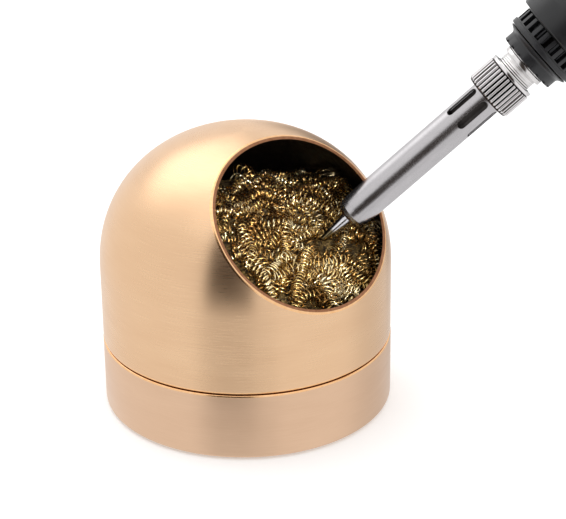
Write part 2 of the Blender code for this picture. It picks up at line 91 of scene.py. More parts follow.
# Iron
JOINTS = {joint["name"]: joint for joint in frame["joints"]}
IRON_AXIS = Vector(JOINTS["iron_draw"]["axis"]).normalized()
NUT_PLACE = 54.0
TIP_POINT = Vector(JOINTS["nut_spin"]["pos_m"]) / MM - NUT_PLACE * IRON_AXIS
IRON_HEADING = math.atan2(IRON_AXIS.y, IRON_AXIS.x)
IRON_ELEVATION = math.asin(IRON_AXIS.z)
IRON_TURN = Matrix.Rotation(IRON_HEADING, 4, "Z") @ Matrix.Rotation(math.pi / 2 - IRON_ELEVATION, 4, "Y")
IRON_PLACE = Matrix.Translation(TIP_POINT * MM) @ IRON_TURN

SLOT_CLOCK = math.radians(-99.7)
NUT_RADIUS = 6.1
NUT_RIDGES = 36

# Camera, from the pot's centre
CAMERA_HEADING = math.radians(-39.724)
CAMERA_ELEVATION = math.radians(24.978)
CAMERA_DISTANCE = 13.9136 * 34.0
CAMERA_TARGET = Vector((0.0, 0.0, 34.0))
CAMERA_AIM_UP = math.radians(-0.0066)
CAMERA_AIM_RIGHT = math.radians(1.055)
CAMERA_ROLL = math.radians(-1.2634)
CAMERA_LENS = 128.886

# Light. The panel's headings from the camera and its elevations are in degrees. The lamp is given
# by its heading, elevation, distance, size and power.
SKY_LEVEL = 1.0
PANEL = (-31, 5, -15, 50)
PANEL_LEVEL = (0.045, 0.034, 0.028)
LOW_PANEL = (-40, 23, -60, -18)
LAMP = (-10, 31, 0.9, 0.04, 3.6)
SPOT = (-30, 24, 0.9, 0.03, 190.0)
SPOT_AIM = (9.0, 14.0, 46.0)


# Shader nodes

def add_node(tree, kind, inputs=None, **settings):
    """A shader node. An input is a value, or the output socket of another node."""
    made = tree.nodes.new("ShaderNode" + kind)
    for key, value in settings.items():
        setattr(made, key, value)
    for key, value in (inputs or {}).items():
        if isinstance(value, bpy.types.NodeSocket):
            tree.links.new(value, made.inputs[key])
        else:
            made.inputs[key].default_value = value
    return made


def new_material(name, colour, roughness, metallic):
    """A Principled material; returns it with its node tree and shader."""
    made = bpy.data.materials.new(name)
    made.use_nodes = True
    shader = made.node_tree.nodes["Principled BSDF"]
    shader.inputs["Base Color"].default_value = (*colour, 1.0)
    shader.inputs["Roughness"].default_value = roughness
    shader.inputs["Metallic"].default_value = metallic
    return made, made.node_tree, shader


def noise(tree, vector, scale, detail=3.0, roughness=0.5):
    inputs = {"Vector": vector, "Scale": scale, "Detail": detail, "Roughness": roughness}
    return add_node(tree, "TexNoise", inputs).outputs["Fac"]


def spread(tree, value, low, high, start=0.3, end=0.7):
    """Maps a noise value to a range."""
    inputs = {"Value": value, "From Min": start, "From Max": end, "To Min": low, "To Max": high}
    return add_node(tree, "MapRange", inputs).outputs["Result"]


def mix_colours(tree, factor, first, second):
    mixed = add_node(tree, "Mix", data_type="RGBA")
    for socket, value in (("Factor", factor), ("A", first), ("B", second)):
        target = [s for s in mixed.inputs if s.name == socket and s.enabled][0]
        if isinstance(value, bpy.types.NodeSocket):
            tree.links.new(value, target)
        else:
            target.default_value = (*value, 1.0) if socket != "Factor" else value
    return [s for s in mixed.outputs if s.enabled][0]


def bump(tree, shader, height, strength, distance):
    inputs = {"Height": height, "Strength": strength, "Distance": distance * MM}
    made = add_node(tree, "Bump", inputs)
    tree.links.new(made.outputs["Normal"], shader.inputs["Normal"])


def object_place(tree):
    """Object coordinates in millimetres."""
    coords = add_node(tree, "TexCoord").outputs["Object"]
    inputs = {"Vector": coords, "Scale": (1 / MM, 1 / MM, 1 / MM)}
    return add_node(tree, "Mapping", inputs).outputs["Vector"]


def lathe_place(tree, around, along):
    """Coordinates on a turned skin, stretched around it and fine along it."""
    skin = add_node(tree, "Attribute", attribute_name="lathe").outputs["Vector"]
    inputs = {"Vector": skin, "Scale": (around, around, along)}
    return add_node(tree, "Mapping", inputs).outputs["Vector"]


# Materials

def brushed_metal(name, colour, shade, roughness, line_depth, anisotropy=0.7, lines=5.0):
    """Turned or brushed metal, with fine lines around its axis."""
    made, tree, shader = new_material(name, colour, roughness, 1.0)
    fine = noise(tree, lathe_place(tree, 5.0, lines), 1.0, 3.0, 0.7)
    broad = noise(tree, lathe_place(tree, 1.6, 0.22), 1.0, 2.0)
    cloud = noise(tree, object_place(tree), 0.09, 2.0)
    tone = add_node(tree, "Math", {0: spread(tree, fine, 0.0, 0.5), 1: spread(tree, broad, 0.0, 0.5)})
    tree.links.new(mix_colours(tree, tone.outputs[0], colour, shade), shader.inputs["Base Color"])
    streak = add_node(tree, "Math", {0: spread(tree, fine, -0.035, 0.035), 1: roughness})
    worn = add_node(tree, "Math", {0: streak.outputs[0], 1: spread(tree, cloud, -0.02, 0.03)})
    tree.links.new(worn.outputs[0], shader.inputs["Roughness"])
    shader.inputs["Anisotropic"].default_value = anisotropy
    shader.inputs["Anisotropic Rotation"].default_value = 0.25
    tangent = add_node(tree, "Tangent", direction_type="RADIAL", axis="Z")
    tree.links.new(tangent.outputs["Tangent"], shader.inputs["Tangent"])
    bump(tree, shader, fine, 0.25, line_depth)
    return made


def polished_metal(name, colour, shade, roughness):
    """Bright metal with faint handling marks."""
    made, tree, shader = new_material(name, colour, roughness, 1.0)
    place = object_place(tree)
    marks = noise(tree, place, 0.9, 4.0, 0.6)
    tree.links.new(mix_colours(tree, spread(tree, marks, 0.0, 0.8), colour, shade), shader.inputs["Base Color"])
    rough = spread(tree, noise(tree, place, 2.2, 3.0), roughness - 0.04, roughness + 0.06)
    tree.links.new(rough, shader.inputs["Roughness"])
    bump(tree, shader, noise(tree, place, 5.0, 2.0), 0.12, 0.01)
    return made


def inner_metal():
    """The inside of the cover, painted near-black as painted shade, in blotches."""
    made, tree, shader = new_material("cover_inside", (0.02, 0.012, 0.009), 0.6, 0.4)
    place = object_place(tree)
    # Painted shade: the whole inside is near-black, varied in blotches.
    blotches = spread(tree, noise(tree, place, 0.15, 5.0, 0.6), 0.0, 1.0)
    colour = mix_colours(tree, blotches, (0.022, 0.013, 0.010), (0.007, 0.005, 0.004))
    tree.links.new(colour, shader.inputs["Base Color"])
    tree.links.new(spread(tree, noise(tree, place, 0.6), 0.5, 0.75), shader.inputs["Roughness"])
    return made


def inside_of(tree, radius, start):
    """1 within a radius of the axis, from a height on."""
    parts = add_node(tree, "SeparateXYZ", {0: object_place(tree)})
    flat = add_node(tree, "CombineXYZ", {0: parts.outputs["X"], 1: parts.outputs["Y"]}).outputs[0]
    far = add_node(tree, "VectorMath", {0: flat}, operation="LENGTH").outputs["Value"]
    near = spread(tree, far, 1.0, 0.0, radius - 0.05, radius + 0.05)
    above = spread(tree, parts.outputs["Z"], 0.0, 1.0, start, start + 1.0)
    return add_node(tree, "Math", {0: near, 1: above}, operation="MULTIPLY").outputs[0]


def sleeve_metal():
    """Satin steel, with brown heat colours at its mouth and its bore painted near-black as painted shade."""
    made = brushed_metal("sleeve_steel", (0.56, 0.54, 0.55), (0.48, 0.465, 0.475), 0.24, 0.012, 0.2, 7.0)
    tree = made.node_tree
    shader = tree.nodes["Principled BSDF"]
    steel = shader.inputs["Base Color"].links[0].from_socket
    along = add_node(tree, "SeparateXYZ", {0: object_place(tree)}).outputs["Z"]
    waver = spread(tree, noise(tree, lathe_place(tree, 2.0, 0.5), 1.0, 2.0), -0.15, 0.15)
    edge = add_node(tree, "Math", {0: along, 1: waver}).outputs[0]
    brown = spread(tree, edge, 0.95, 0.0, 8.3, 8.55)
    straw = spread(tree, edge, 0.12, 0.0, 8.6, 10.5)
    warm = mix_colours(tree, straw, steel, (0.50, 0.42, 0.33))
    brown_end = mix_colours(tree, brown, warm, (0.16, 0.10, 0.065))
    # Painted shade: within 3.65 mm of the axis, from 14 mm on, the bore is painted near-black.
    tree.links.new(mix_colours(tree, inside_of(tree, 3.65, 14.0), brown_end, (0.03, 0.026, 0.024)), shader.inputs["Base Color"])
    return made


def nut_metal():
    """Bright plated metal, painted dark within 5.82 mm of its axis: painted shade in the bore, between the ridges and
    in the groove.
    """
    made = brushed_metal("nut_steel", (0.80, 0.775, 0.78), (0.72, 0.70, 0.70), 0.13, 0.004, 0.0, 7.0)
    tree = made.node_tree
    shader = tree.nodes["Principled BSDF"]
    steel = shader.inputs["Base Color"].links[0].from_socket
    # Painted shade: near-black within 5.82 mm of the axis, from 48 mm on.
    recess_painted_shade = mix_colours(tree, inside_of(tree, 5.82, 48.0), steel, (0.035, 0.026, 0.022))
    tree.links.new(recess_painted_shade, shader.inputs["Base Color"])
    return made


def nipple_metal():
    """Bright steel, painted near-black from the collar inwards: painted shade inside the vent ring."""
    made = brushed_metal("nipple_steel", (0.78, 0.755, 0.75), (0.70, 0.68, 0.67), 0.16, 0.004, 0.0, 7.0)
    tree = made.node_tree
    shader = tree.nodes["Principled BSDF"]
    steel = shader.inputs["Base Color"].links[0].from_socket
    along = add_node(tree, "SeparateXYZ", {0: object_place(tree)}).outputs["Z"]
    # Painted shade: from 61 mm along, behind the vent windows, the steel is painted near-black.
    painted_shade_inside = spread(tree, along, 0.0, 1.0, 60.9, 61.5)
    tree.links.new(mix_colours(tree, painted_shade_inside, steel, (0.03, 0.03, 0.032)), shader.inputs["Base Color"])
    return made


def tip_metal():
    """Plated iron, bright at the tinned point and darker towards the shank."""
    made, tree, shader = new_material("plated_tip", (0.62, 0.61, 0.60), 0.16, 1.0)
    place = object_place(tree)
    along = add_node(tree, "SeparateXYZ", {0: place}).outputs["Z"]
    waver = spread(tree, noise(tree, place, 0.5, 3.0), -1.2, 1.2)
    where = add_node(tree, "Math", {0: along, 1: waver}).outputs[0]
    dark = spread(tree, where, 0.0, 1.0, 9.0, 14.0)
    tinned = mix_colours(tree, spread(tree, noise(tree, place, 1.4), 0.0, 0.6), (0.80, 0.79, 0.83), (0.62, 0.60, 0.63))
    plated = mix_colours(tree, dark, tinned, (0.20, 0.18, 0.17))
    # Olive-brown towards the point.
    brown_end = spread(tree, where, 1.0, 0.0, 2.2, 4.4)
    tree.links.new(mix_colours(tree, brown_end, plated, (0.22, 0.17, 0.09)), shader.inputs["Base Color"])
    rough = spread(tree, noise(tree, place, 1.8, 3.0), 0.10, 0.24)
    tree.links.new(rough, shader.inputs["Roughness"])
    bump(tree, shader, noise(tree, place, 1.1, 3.0), 0.25, 0.03)
    return made


def brass_strand(name, bright, dull, roughness):
    """Curled metal ribbon, its tone changing from strand to strand."""
    made, tree, shader = new_material(name, bright, roughness, 1.0)
    place = object_place(tree)
    patch = spread(tree, noise(tree, place, 0.22, 2.0), 0.0, 1.0, 0.35, 0.65)
    tree.links.new(mix_colours(tree, patch, bright, dull), shader.inputs["Base Color"])
    rough = spread(tree, noise(tree, place, 1.5, 2.0), roughness - 0.05, roughness + 0.07)
    tree.links.new(rough, shader.inputs["Roughness"])
    return made


def wool_shadow():
    """The mass deep in the wool."""
    made, tree, shader = new_material("wool_shadow", (0.05, 0.03, 0.01), 0.5, 0.8)
    place = object_place(tree)
    spots = spread(tree, noise(tree, place, 1.2, 4.0, 0.65), 0.0, 1.0, 0.4, 0.65)
    tree.links.new(mix_colours(tree, spots, (0.012, 0.007, 0.003), (0.16, 0.10, 0.03)), shader.inputs["Base Color"])
    tree.links.new(spread(tree, spots, 0.7, 0.35, 0.0, 1.0), shader.inputs["Roughness"])
    bump(tree, shader, noise(tree, place, 1.6, 3.0), 0.8, 0.6)
    return made


def moulded_plastic(name, colour, roughness, grain=3.0):
    made, tree, shader = new_material(name, colour, roughness, 0.0)
    place = object_place(tree)
    cloud = spread(tree, noise(tree, place, 0.12, 2.0), 0.0, 1.0)
    lighter = tuple(1.35 * c + 0.002 for c in colour)
    tree.links.new(mix_colours(tree, cloud, colour, lighter), shader.inputs["Base Color"])
    rough = spread(tree, noise(tree, place, 0.8, 3.0), roughness - 0.05, roughness + 0.06)
    tree.links.new(rough, shader.inputs["Roughness"])
    bump(tree, shader, noise(tree, place, grain, 3.0), 0.35, 0.035)
    return made


def rubber(name, colour):
    made, tree, shader = new_material(name, colour, 0.8, 0.0)
    place = object_place(tree)
    dust = spread(tree, noise(tree, place, 0.25, 4.0), 0.0, 1.0, 0.4, 0.8)
    tree.links.new(mix_colours(tree, dust, colour, tuple(1.8 * c for c in colour)), shader.inputs["Base Color"])
    tree.links.new(spread(tree, dust, 0.72, 0.88, 0.0, 1.0), shader.inputs["Roughness"])
    bump(tree, shader, noise(tree, place, 4.0, 3.0), 0.4, 0.04)
    shader.inputs["Sheen Weight"].default_value = 0.15
    shader.inputs["Sheen Roughness"].default_value = 0.5
    return made


def ceramic():
    made, tree, shader = new_material("heater_ceramic", (0.06, 0.05, 0.045), 0.7, 0.0)
    place = object_place(tree)
    stain = spread(tree, noise(tree, place, 0.35, 4.0), 0.0, 1.0, 0.45, 0.8)
    tree.links.new(mix_colours(tree, stain, (0.06, 0.05, 0.045), (0.025, 0.02, 0.017)), shader.inputs["Base Color"])
    bump(tree, shader, noise(tree, place, 2.5, 3.0), 0.2, 0.02)
    return made


def board_laminate():
    made, tree, shader = new_material("board_laminate", (0.34, 0.21, 0.09), 0.55, 0.0)
    place = object_place(tree)
    inputs = {"Vector": place, "Scale": (1.0, 6.0, 1.2)}
    weave = noise(tree, add_node(tree, "Mapping", inputs).outputs["Vector"], 1.0, 3.0)
    tree.links.new(mix_colours(tree, weave, (0.28, 0.16, 0.06), (0.42, 0.27, 0.12)), shader.inputs["Base Color"])
    bump(tree, shader, weave, 0.3, 0.03)
    return made


# Turned pieces

def rounded(points, closed, steps=5):
    """Rounds the corners of an outline of (radius, height, rounding) points."""
    outline = []
    count = len(points)
    for index, (radius, height, rounding) in enumerate(points):
        corner = Vector((radius, height))
        if rounding == 0 or (not closed and index in (0, count - 1)):
            outline.append((radius, height))
            continue
        before = Vector(points[index - 1][:2]) - corner
        after = Vector(points[(index + 1) % count][:2]) - corner
        reach = rounding / math.tan(before.angle(after) / 2)
        reach = min(reach, 0.48 * before.length, 0.48 * after.length)
        start = corner + before.normalized() * reach
        end = corner + after.normalized() * reach
        for step in range(steps + 1):
            share = step / steps
            place = start * (1 - share) ** 2 + corner * 2 * share * (1 - share) + end * share**2
            outline.append((place.x, place.y))
    return outline


def finish_mesh(name, verts, faces, lathe=None, smooth=35.0):
    """An object from points in millimetres, its faces pointing out."""
    mesh = bpy.data.meshes.new(name)
    mesh.from_pydata([tuple(v) for v in np.asarray(verts, float) * MM], [], faces)
    if lathe is not None:
        skin = mesh.attributes.new("lathe", "FLOAT_VECTOR", "POINT")
        skin.data.foreach_set("vector", np.asarray(lathe, np.float32).ravel())
    bm = bmesh.new()
    bm.from_mesh(mesh)
    bmesh.ops.recalc_face_normals(bm, faces=bm.faces)
    bm.to_mesh(mesh)
    bm.free()
    mesh.shade_smooth()
    mesh.set_sharp_from_angle(angle=math.radians(smooth))
    obj = bpy.data.objects.new(name, mesh)
    bpy.context.collection.objects.link(obj)
    return obj


def turned(name, points, segments, closed=True, steps=5, wave=None, smooth=35.0):
    """A turned solid from an outline of (radius, height, rounding) points.

    An outline that isn't closed starts and ends on the axis. wave changes a point's radius by its
    (radius, height, angle).
    """
    outline = rounded(points, closed, steps)
    along = [0.0]
    for (r0, h0), (r1, h1) in zip(outline, outline[1:]):
        along.append(along[-1] + math.hypot(r1 - r0, h1 - h0))
    verts, lathe, rings, faces = [], [], [], []
    for (radius, height), arc in zip(outline, along):
        start = len(verts)
        count = 1 if radius == 0.0 else segments
        for index in range(count):
            angle = 2 * math.pi * index / segments
            r = wave(radius, height, angle) if wave and count > 1 else radius
            verts.append((r * math.cos(angle), r * math.sin(angle), height))
            lathe.append((math.cos(angle), math.sin(angle), arc))
        rings.append(range(start, start + count))
    pairs = list(zip(rings, rings[1:]))
    if closed:
        pairs.append((rings[-1], rings[0]))
    for lower, upper in pairs:
        for index in range(segments):
            after = (index + 1) % segments
            corners = [lower[index % len(lower)], lower[after % len(lower)]]
            corners += [upper[after % len(upper)], upper[index % len(upper)]]
            faces.append(list(dict.fromkeys(corners)))
    return finish_mesh(name, verts, faces, lathe, smooth)


def weigh_normals(obj):
    """Keeps flat faces flat beside rounded edges."""
    modifier = obj.modifiers.new("flat_faces", "WEIGHTED_NORMAL")
    modifier.keep_sharp = True
    modifier.weight = 80


def place_on_iron(obj):
    obj.matrix_world = IRON_PLACE


def cut(target, cutter):
    modifier = target.modifiers.new("cut", "BOOLEAN")
    modifier.operation = "DIFFERENCE"
    modifier.solver = "EXACT"
    modifier.object = cutter


def apply_modifiers(obj):
    """Bakes the modifiers of a piece into its mesh."""
    graph = bpy.context.evaluated_depsgraph_get()
    mesh = bpy.data.meshes.new_from_object(obj.evaluated_get(graph))
    obj.modifiers.clear()
    obj.data = mesh


def blocks(name, size, places):
    """Boxes of one size, each placed by a matrix, as one cutter."""
    bm = bmesh.new()
    for place in places:
        bmesh.ops.create_cube(bm, size=1.0, matrix=place @ Matrix.Diagonal((*size, 1.0)))
    bmesh.ops.scale(bm, vec=(MM, MM, MM), verts=bm.verts)
    mesh = bpy.data.meshes.new(name)
    bm.to_mesh(mesh)
    bm.free()
    obj = bpy.data.objects.new(name, mesh)
    bpy.context.collection.objects.link(obj)
    return obj


def cut_and_soften(target, cutter, width, segments=2):
    """Cuts a piece, then rounds the new edges."""
    cut(target, cutter)
    edge = target.modifiers.new("edges", "BEVEL")
    edge.width = width * MM
    edge.segments = segments
    edge.limit_method = "ANGLE"
    edge.angle_limit = math.radians(50)
    edge.harden_normals = False
    apply_modifiers(target)
    bpy.data.objects.remove(cutter, do_unlink=True)
    target.data.shade_smooth()
    target.data.set_sharp_from_angle(angle=math.radians(40))


def dress(obj, body, slot, material, *nodes):
    """Gives a piece its material and body, and hides the CAD nodes that it stands for. Its slot is not used."""
    obj.data.materials.append(material)
    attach(obj, body)
    if nodes:
        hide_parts(*nodes)
    return obj


# Pot

def crown_value(points, inset=0.0):
    """Below 0 inside the cover's skin, above 0 outside it."""
    radius = DOME_RADIUS - inset
    across = np.hypot(points[..., 0], points[..., 1]) / radius
    rise = np.maximum(0.0, points[..., 2] - SHOULDER_HEIGHT) / (CROWN_HEIGHT - inset)
    return across**CROWN_POWER + rise**CROWN_POWER - 1.0


def on_skin(start, directions, inset=0.0):
    """Where rays from a point inside the cover meet its skin."""
    near = np.zeros(len(directions))
    far = np.full(len(directions), 3 * BASE_RADIUS)
    for _ in range(40):
        middle = (near + far) / 2
        outside = crown_value(start + directions * middle[:, None], inset) > 0
        far = np.where(outside, middle, far)
        near = np.where(outside, near, middle)
    return start + directions * near[:, None]


def mouth_curve(clocks, inset, below):
    """The points where the skin meets a plane just under the plane of the mouth."""
    right = np.array([1.0, 0.0, 0.0])
    up = np.cross(MOUTH_NORMAL, right)
    height = (MOUTH_DISTANCE - below + MOUTH_NORMAL[1] * MOUTH_SETBACK) / MOUTH_NORMAL[2]
    centre = np.array([0.0, -MOUTH_SETBACK, height])
    directions = np.cos(clocks)[:, None] * right + np.sin(clocks)[:, None] * up
    return on_skin(centre, directions, inset)


def cover_skin(clocks, inset, below, steps):
    """Rings on the skin from the mouth to the foot of the cover."""
    heart = np.array([0.0, 2.0, 26.0])
    mouth = mouth_curve(clocks, inset, below)
    radius = DOME_RADIUS - inset
    level = np.full(len(clocks), DOME_BOTTOM + 0.5)
    foot = np.stack([radius * np.cos(clocks), radius * np.sin(clocks), level], 1)
    rings = [mouth]
    for step in range(1, steps):
        share = step / steps
        toward = (1 - share) * (mouth - heart) + share * (foot - heart)
        toward /= np.linalg.norm(toward, axis=1)[:, None]
        rings.append(on_skin(heart, toward, inset))
    rings.append(foot)
    return rings


def lathe_of(points):
    """The cover's skin coordinates: around its axis, and down its profile."""
    angle = np.arctan2(points[:, 1], points[:, 0])
    across = np.hypot(points[:, 0], points[:, 1])
    rise = np.maximum(0.0, points[:, 2] - SHOULDER_HEIGHT)
    bend = np.arctan2(rise, across) * 1.05 * BASE_RADIUS
    down = np.where(rise > 0, bend, points[:, 2] - SHOULDER_HEIGHT)
    return np.stack([np.cos(angle), np.sin(angle), down], 1)


def ribbon_of_arc(first, corner, last, steps):
    """Rings that round the corner between two rings."""
    rings = []
    for step in range(steps + 1):
        share = step / steps
        rings.append(first * (1 - share) ** 2 + corner * 2 * share * (1 - share) + last * share**2)
    return rings


def mark_band(obj, low, high, inner):
    """Gives the faces in a band of heights, outside a radius, the second material."""
    count = len(obj.data.polygons)
    centres = np.empty(3 * count)
    obj.data.polygons.foreach_get("center", centres)
    x, y, z = centres.reshape(-1, 3).T / MM
    kinds = np.zeros(count, np.int32)
    obj.data.polygons.foreach_get("material_index", kinds)
    kinds[(z > low) & (z < high) & (np.hypot(x, y) > inner)] = 1
    obj.data.polygons.foreach_set("material_index", kinds)


def make_cover():
    """The cover: its skin, the rounded rim of the mouth, the inside and the foot."""
    segments, steps = 256, 100
    clocks = np.linspace(0, 2 * math.pi, segments, endpoint=False)
    outer = cover_skin(clocks, 0.0, RIM_ROUND, steps)
    inner = cover_skin(clocks, DOME_WALL, RIM_ROUND, steps)
    outer_top = mouth_curve(clocks, 0.0, 0.0)
    inner_top = mouth_curve(clocks, DOME_WALL, 0.0)
    inward = inner_top - outer_top
    inward /= np.linalg.norm(inward, axis=1)[:, None]
    rim = ribbon_of_arc(outer[0], outer_top, outer_top + inward * RIM_ROUND, 5)
    rim += ribbon_of_arc(inner_top - inward * RIM_ROUND, inner_top, inner[0], 5)
    out_foot, in_foot = outer[-1], inner[-1]
    low = np.array([0.0, 0.0, 0.5])
    edge = 0.35 * (out_foot - in_foot) / DOME_WALL
    foot = ribbon_of_arc(out_foot, out_foot - low, out_foot - low - edge, 4)
    foot += ribbon_of_arc(in_foot - low + edge, in_foot - low, in_foot, 4)
    rings = outer[::-1][:-1] + rim + inner[1:] + foot[::-1][1:-1]
    verts = np.concatenate(rings)
    count = len(rings)
    faces = []
    for ring in range(count):
        for index in range(segments):
            after = (index + 1) % segments
            base, top = ring * segments, (ring + 1) % count * segments
            faces.append((base + index, base + after, top + after, top + index))
    cover = finish_mesh("cover_shell", verts, faces, lathe_of(verts), 50.0)
    rim_start = steps * segments
    inner_start = (steps + len(rim) - 3) * segments
    inner_end = inner_start + (steps + 3) * segments
    kinds = np.zeros(len(faces), np.int32)
    # Face kinds: 1 the polished outer arc of the rim; 3 the cut face and inner arc of the rim, dark copper as painted
    # shade; 2 the inside, near-black as painted shade.
    kinds[rim_start - segments : inner_start] = 3
    kinds[rim_start - segments : rim_start + 4 * segments] = 1
    kinds[inner_start:inner_end] = 2
    cover.data.polygons.foreach_set("material_index", kinds)
    mark_band(cover, DOME_BOTTOM - 1.0, DOME_BOTTOM + 0.4, DOME_RADIUS - 0.5)
    return cover


def make_base():
    recess = PAD_RADIUS + GAP
    recess_top = PAD_THICKNESS + GAP
    floor_top = recess_top + PAD_PROUD + FLOOR_THICKNESS
    points = [
        (0.0, recess_top, 0),
        (recess, recess_top, 0.2),
        (recess, PAD_PROUD, 0.3),
        (BASE_RADIUS, PAD_PROUD, 0.9),
        (BASE_RADIUS, SEAM_HEIGHT, 0.45),
        (SPIGOT_RADIUS, SEAM_HEIGHT, 0.15),
        (SPIGOT_RADIUS, SEAM_HEIGHT + SPIGOT_HEIGHT, 0.6),
        (SPIGOT_BORE, SEAM_HEIGHT + SPIGOT_HEIGHT, 0.4),
        (SPIGOT_BORE, floor_top, 0.8),
        (0.0, floor_top, 0),
    ]
    base = turned("base_body", points, 256, closed=False)
    mark_band(base, SEAM_HEIGHT - 0.5, SEAM_HEIGHT + 0.2, SPIGOT_RADIUS + 0.3)
    return base


def make_foot_pad():
    points = [
        (0.0, 0.0, 0),
        (PAD_RADIUS - 6.0, 0.0, 0),
        (PAD_RADIUS - 5.6, 0.5, 0.2),
        (PAD_RADIUS - 4.4, 0.5, 0.2),
        (PAD_RADIUS - 4.0, 0.0, 0.2),
        (PAD_RADIUS, 0.0, 0.5),
        (PAD_RADIUS, PAD_THICKNESS, 0.2),
        (0.0, PAD_THICKNESS, 0),
    ]
    return turned("base_pad", points, 128, closed=False)


# Iron

def make_tip():
    points = [
        (0.0, 0.0, 0),
        (0.75, 0.05, 0.4),
        (1.5, 7.3, 2.0),
        (2.15, 11.5, 1.5),
        (2.4, 12.6, 0.8),
        (3.1, 14.5, 0.6),
        (3.1, 33.0, 0.2),
        (2.2, 33.0, 0.1),
        (2.2, 16.8, 0.3),
        (0.0, 16.0, 0),
    ]
    return turned("tip_body", points, 96, closed=False)


def slot_cutters():
    """The six round-ended slots near the end of the sleeve."""
    half, radius = 4.2 - 0.95, 0.95
    bm = bmesh.new()
    for index in range(6):
        turn = Matrix.Rotation(SLOT_CLOCK + index * math.pi / 3, 4, "Z")
        loop = []
        for step in range(32):
            angle = 2 * math.pi * (step + 0.5) / 32
            along = radius * math.sin(angle) + math.copysign(half, math.sin(angle))
            loop.append(bm.verts.new(turn @ Vector((2.4, radius * math.cos(angle), 44.8 + along))))
        pushed = bmesh.ops.extrude_face_region(bm, geom=[bm.faces.new(loop)])["geom"]
        moved = [item for item in pushed if isinstance(item, bmesh.types.BMVert)]
        bmesh.ops.translate(bm, verts=moved, vec=turn @ Vector((3.0, 0, 0)))
    bmesh.ops.recalc_face_normals(bm, faces=bm.faces)
    bmesh.ops.scale(bm, vec=(MM, MM, MM), verts=bm.verts)
    mesh = bpy.data.meshes.new("slot_cutter")
    bm.to_mesh(mesh)
    bm.free()
    obj = bpy.data.objects.new("slot_cutter", mesh)
    bpy.context.collection.objects.link(obj)
    return obj


def make_sleeve():
    points = [
        (2.88, 8.0, 0.2),
        (3.3, 8.0, 0.3),
        (3.5, 8.6, 0.4),
        (3.76, 9.3, 0.8),
        (3.87, 10.6, 2.0),
        (3.97, 13.6, 2.0),
        (4.05, 18.5, 2.0),
        (4.05, 50.2, 0.1),
        (4.75, 50.2, 0.1),
        (4.75, 51.2, 0.1),
        (3.55, 51.2, 0.1),
        (3.55, 18.5, 2.0),
        (3.48, 13.6, 2.0),
        (3.37, 10.6, 1.0),
        (3.22, 9.1, 0.6),
    ]
    sleeve = turned("sleeve_tube", points, 144)
    cut_and_soften(sleeve, slot_cutters(), 0.16, 3)
    return sleeve


def nut_wave(radius, height, angle):
    """Rounded ridges along the nut."""
    if radius < NUT_RADIUS - 0.5 or height > 56.15:
        return radius
    valley = (0.5 - 0.5 * math.cos(NUT_RIDGES * angle)) ** 2
    return radius - 0.5 * valley * min(1.0, (radius - NUT_RADIUS + 0.5) / 0.3)


def make_nut():
    points = [
        (4.35, 49.5, 0.1),
        (5.55, 49.5, 0.2),
        (6.1, 50.2, 0.3),
        (6.1, 56.1, 0.15),
        (5.7, 56.2, 0.05),
        (5.7, 56.4, 0.05),
        (5.95, 56.45, 0.1),
        (5.95, 57.15, 0.15),
        (5.05, 57.15, 0.1),
        (5.05, 50.1, 0.1),
        (4.35, 50.1, 0.1),
    ]
    return turned("nut_body", points, NUT_RIDGES * 12, wave=nut_wave, smooth=60)


def thread_wave(radius, height, angle):
    """A screw thread on the nipple's neck."""
    if abs(radius - 4.6) > 0.01 or not 52.0 < height < 59.5:
        return radius
    turns = height / 0.5 - angle / (2 * math.pi)
    return radius - 0.2 * abs((turns % 1.0) - 0.5)


def make_nipple():
    points = [(2.4, 51.5, 0.1), (4.6, 51.5, 0.3)]
    points += [(4.6, 55.6 + 0.05 * step, 0) for step in range(81)]
    points += [
        (5.35, 59.65, 0.25),
        (5.35, 60.8, 0.3),
        (4.9, 60.8, 0.05),
        (4.9, 86.0, 0.2),
        (4.1, 86.0, 0.1),
        (4.1, 66.2, 0.1),
        (2.4, 66.2, 0.1),
    ]
    return turned("nipple_body", points, 96, wave=thread_wave, smooth=60)


def around_iron(count, clock, radius, height):
    """Places around the iron's axis, X pointing outward."""
    places = []
    for index in range(count):
        turn = Matrix.Rotation(clock + 2 * math.pi * index / count, 4, "Z")
        places.append(turn @ Matrix.Translation((radius, 0, height)))
    return places


def make_collar():
    points = [
        (5.2, 61.1, 0.1),
        (7.25, 61.1, 0.25),
        (7.25, 63.6, 0.9),
        (8.7, 64.4, 0.2),
        (8.7, 64.6, 0.05),
        (5.2, 64.6, 0.1),
    ]
    collar = turned("collar_body", points, 160)
    places = around_iron(16, math.radians(5), 7.25, 61.1)
    cut_and_soften(collar, blocks("notch_cutter", (2.4, 1.1, 1.0), places), 0.1)
    return collar


def make_vent_ring():
    flange = 66.15
    points = [
        (5.2, 64.9, 0.1),
        (9.2, 64.9, 0.25),
        (9.2, flange, 0.2),
        (8.85, flange, 0.05),
        (8.85, 69.45, 0.12),
        (8.4, 69.45, 0.05),
        (8.4, 76.25, 0.2),
        (7.3, 76.25, 0.1),
        (7.3, flange, 0.2),
        (5.2, flange, 0.1),
    ]
    ring = turned("vent_body", points, 192)
    places = around_iron(24, math.radians(3.75), 8.4, (flange + 69.7) / 2)
    cut_and_soften(ring, blocks("window_cutter", (3.0, 1.4, 2.95), places), 0.1)
    return ring


